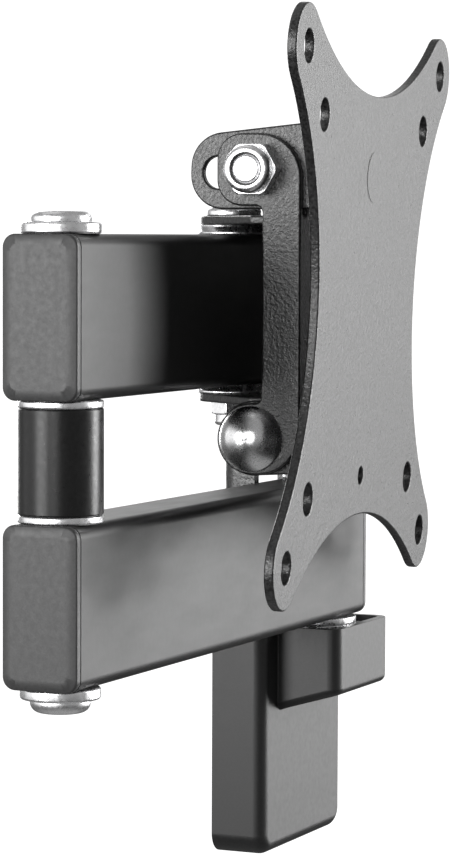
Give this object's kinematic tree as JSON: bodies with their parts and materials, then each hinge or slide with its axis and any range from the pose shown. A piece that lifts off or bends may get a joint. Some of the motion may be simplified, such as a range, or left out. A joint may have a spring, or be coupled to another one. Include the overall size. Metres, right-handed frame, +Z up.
{
  "type": "full motion wall mount",
  "caption": "Folding two-arm wall bracket for a small flat screen, with a panning and tilting plate of concave-sided X shape.",
  "frame": {"origin": "on the wall, at the centre of the back face of the wall plate, level with the middle of the lower arm and in line with the wall pivot", "axes": "+Z up; +Y into the wall; -Y out towards the screen; +X to the right as seen from in front"},
  "size_m": [0.1581, 0.0531, 0.1802],
  "materials": {
    "powder_coat": "fine-textured black powder coat",
    "satin_paint": "satin black paint",
    "cap_plastic": "moulded, matt, dark grey",
    "cover_plastic": "moulded, fine matt, dark grey",
    "spacer_plastic": "satin black",
    "zinc_steel": "bright zinc plate",
    "polished_steel": "turned and polished"
  },
  "bodies": {
    "wall": {"wall_plate": "powder_coat", "lower_cover": "cover_plastic", "upper_cover": "cover_plastic", "wall_pivot_bolt": "zinc_steel", "wall_pivot_nut": "zinc_steel", "wall_pivot_thick_washers": "zinc_steel", "wall_pivot_thin_washers": "zinc_steel"},
    "lower_arm": {"lower_arm_tube": "satin_paint", "lower_arm_end_caps": "cap_plastic", "lower_arm_sleeves": "zinc_steel", "elbow_outer_washers": "zinc_steel", "elbow_shims": "zinc_steel", "elbow_spacer": "spacer_plastic", "elbow_rivet": "zinc_steel"},
    "upper_arm": {"upper_arm_tube": "satin_paint", "upper_arm_end_caps": "cap_plastic", "upper_arm_sleeves": "zinc_steel"},
    "swivel": {"swivel_bracket": "powder_coat", "pan_bolt": "zinc_steel", "pan_nut": "zinc_steel", "pan_washers": "zinc_steel", "tilt_pivot_bolt": "polished_steel", "tilt_pivot_nut": "zinc_steel", "tilt_lock_bolt": "zinc_steel", "tilt_lock_nut": "zinc_steel"},
    "screen": {"vesa_bracket": "powder_coat", "vesa_plate": "powder_coat"}
  },
  "joints": [
    {"name": "wall_pivot", "type": "hinge", "parent": "wall", "child": "lower_arm", "pos_m": [0, -0.016, 0], "axis": [0, 0, 1], "range_deg": [0, 65]},
    {"name": "elbow", "type": "hinge", "parent": "lower_arm", "child": "upper_arm", "pos_m": [-0.1264, -0.016, 0.027], "axis": [0, 0, 1], "range_deg": [-180, 0]},
    {"name": "pan", "type": "hinge", "parent": "upper_arm", "child": "swivel", "pos_m": [-0.0477, -0.016, 0.054], "axis": [0, 0, 1], "range_deg": [-17, 5]},
    {"name": "tilt", "type": "hinge", "parent": "swivel", "child": "screen", "pos_m": [-0.04655, -0.02694, 0.0282], "axis": [0.9945, 0.1045, 0], "range_deg": [-5, 8]}
  ]
}
